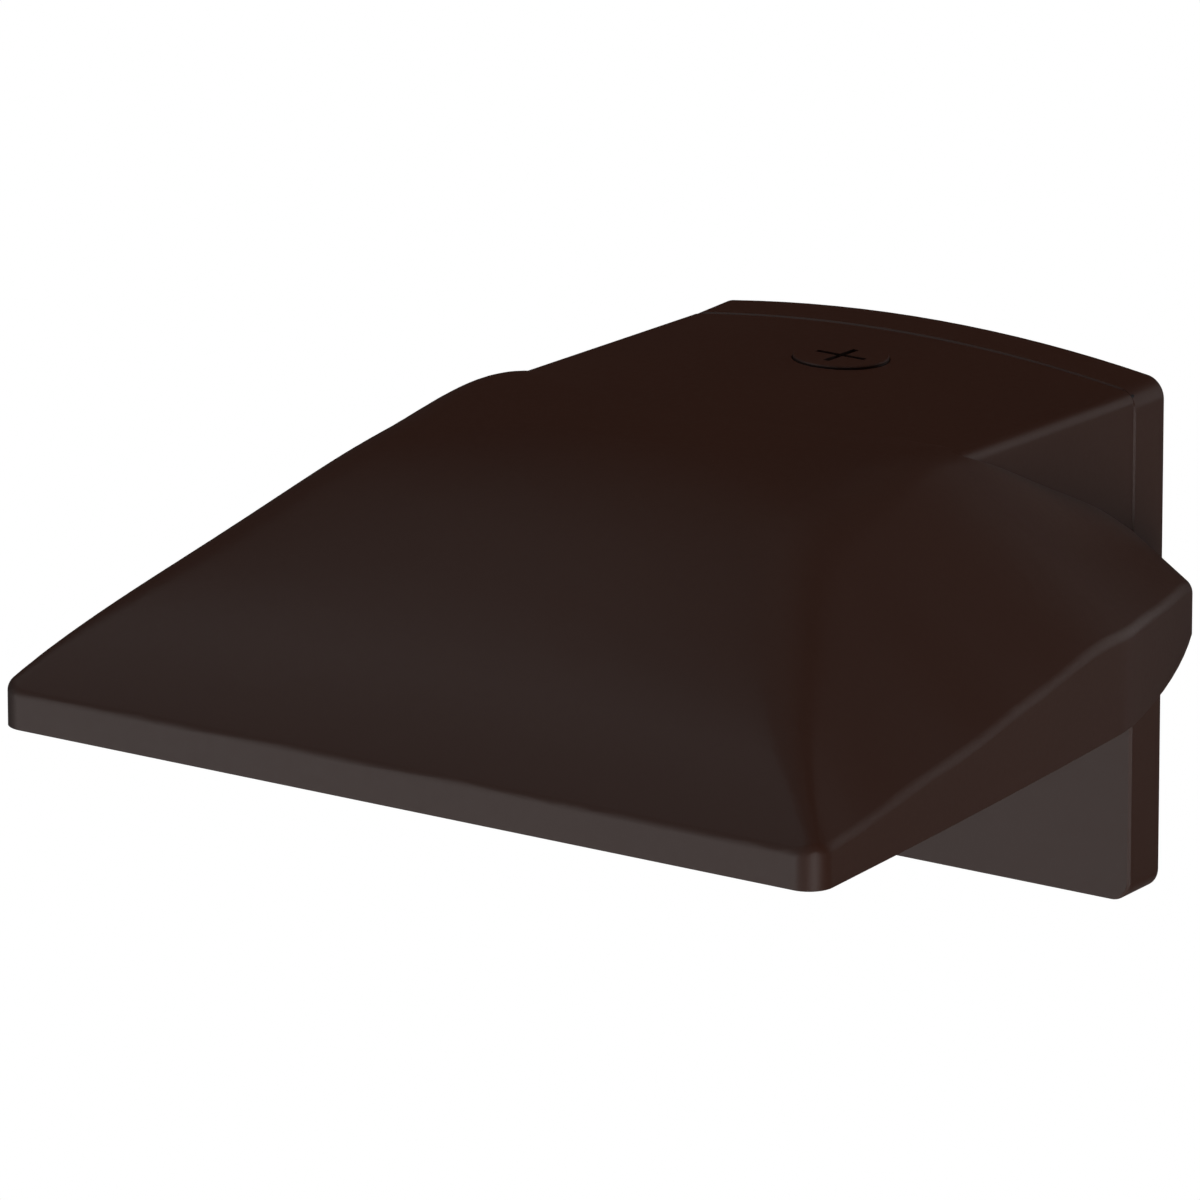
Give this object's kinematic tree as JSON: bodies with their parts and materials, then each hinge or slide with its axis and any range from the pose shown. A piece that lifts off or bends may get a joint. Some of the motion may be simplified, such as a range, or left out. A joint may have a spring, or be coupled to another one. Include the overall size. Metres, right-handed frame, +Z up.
{
  "type": "wall pack light",
  "caption": "Outdoor wall pack light: arched back plate, square neck and sloping hood with a downward lens, on a top-edge hinge with a conduit plug.",
  "frame": {"origin": "on the wall, at the centre of the junction box screws", "axes": "+X to the right seen from the front, +Y into the wall, +Z up"},
  "size_m": [0.2556, 0.2585, 0.1552],
  "materials": {
    "bronze_coat": "die casting, dark bronze satin powder coat",
    "silicone": "black silicone, matte",
    "zinc_steel": "zinc plated sheet",
    "stainless": "plain stainless",
    "green_steel": "green passivated",
    "clear_glass": "clear tempered",
    "clear_acrylic": "clear moulding",
    "white_board": "white solder mask, satin",
    "phosphor": "yellow silicone",
    "driver_case": "moulded, fine grain",
    "terminal_plastic": "moulded"
  },
  "bodies": {
    "wall": {"back_plate": "bronze_coat", "wall_gasket": "silicone", "housing_gasket": "silicone", "mounting_strap": "zinc_steel", "ground_screw": "green_steel", "strap_screw_left": "stainless", "strap_screw_right": "stainless"},
    "housing": {"housing": "bronze_coat", "door_frame": "bronze_coat", "door_gasket": "silicone", "lens": "clear_glass", "lens_gasket": "silicone", "led_board": "white_board", "led_chips": "phosphor", "optic_plate": "clear_acrylic", "driver": "driver_case", "terminal_block": "terminal_plastic", "terminal_screw": "stainless", "driver_screw_left": "stainless", "driver_screw_right": "stainless", "door_screw_1": "stainless", "door_screw_2": "stainless", "door_screw_3": "stainless", "door_screw_4": "stainless", "door_screw_5": "stainless", "door_screw_6": "stainless", "lens_clip_1": "stainless", "lens_clip_2": "stainless", "lens_clip_3": "stainless", "lens_clip_4": "stainless", "clip_screw_1": "stainless", "clip_screw_2": "stainless", "clip_screw_3": "stainless", "clip_screw_4": "stainless", "board_screw_1": "stainless", "board_screw_2": "stainless", "board_screw_3": "stainless", "board_screw_4": "stainless"},
    "plug_seal": {"plug_seal": "silicone"},
    "plug": {"conduit_plug": "bronze_coat"},
    "lock_washer_left": {"lock_washer_left": "stainless"},
    "lock_screw_left": {"lock_screw_left": "stainless"},
    "lock_washer_right": {"lock_washer_right": "stainless"},
    "lock_screw_right": {"lock_screw_right": "stainless"}
  },
  "joints": [
    {"name": "housing_swing", "type": "hinge", "parent": "wall", "child": "housing", "pos_m": [0, -0.015, 0.0745], "axis": [-1, 0, 0], "range_deg": [0, 30]},
    {"name": "plug_lift", "type": "slide", "parent": "housing", "child": "plug_seal", "axis": [0, 0.0437, 0.999], "range_m": [0, 0.012]},
    {"name": "plug_turn", "type": "hinge", "parent": "plug_seal", "child": "plug", "pos_m": [0, -0.049, 0.07559], "axis": [0, 0.0437, 0.999], "range_deg": [0, 2380]},
    {"name": "lock_lift_left", "type": "slide", "parent": "housing", "child": "lock_washer_left", "axis": [0, -1, 0], "range_m": [0, 0.0064]},
    {"name": "lock_turn_left", "type": "hinge", "parent": "lock_washer_left", "child": "lock_screw_left", "pos_m": [-0.057, -0.021, -0.0045], "axis": [0, -1, 0], "range_deg": [0, 2882]},
    {"name": "lock_lift_right", "type": "slide", "parent": "housing", "child": "lock_washer_right", "axis": [0, -1, 0], "range_m": [0, 0.0064]},
    {"name": "lock_turn_right", "type": "hinge", "parent": "lock_washer_right", "child": "lock_screw_right", "pos_m": [0.057, -0.021, -0.0045], "axis": [0, -1, 0], "range_deg": [0, 2882]}
  ],
  "couplings": [
    {"joint": "plug_lift", "follows": "plug_turn", "m_per_rad": 0.00028871},
    {"joint": "lock_turn_left", "follows": "lock_lift_left", "rad_per_m": 7854},
    {"joint": "lock_turn_right", "follows": "lock_lift_right", "rad_per_m": 7854}
  ]
}
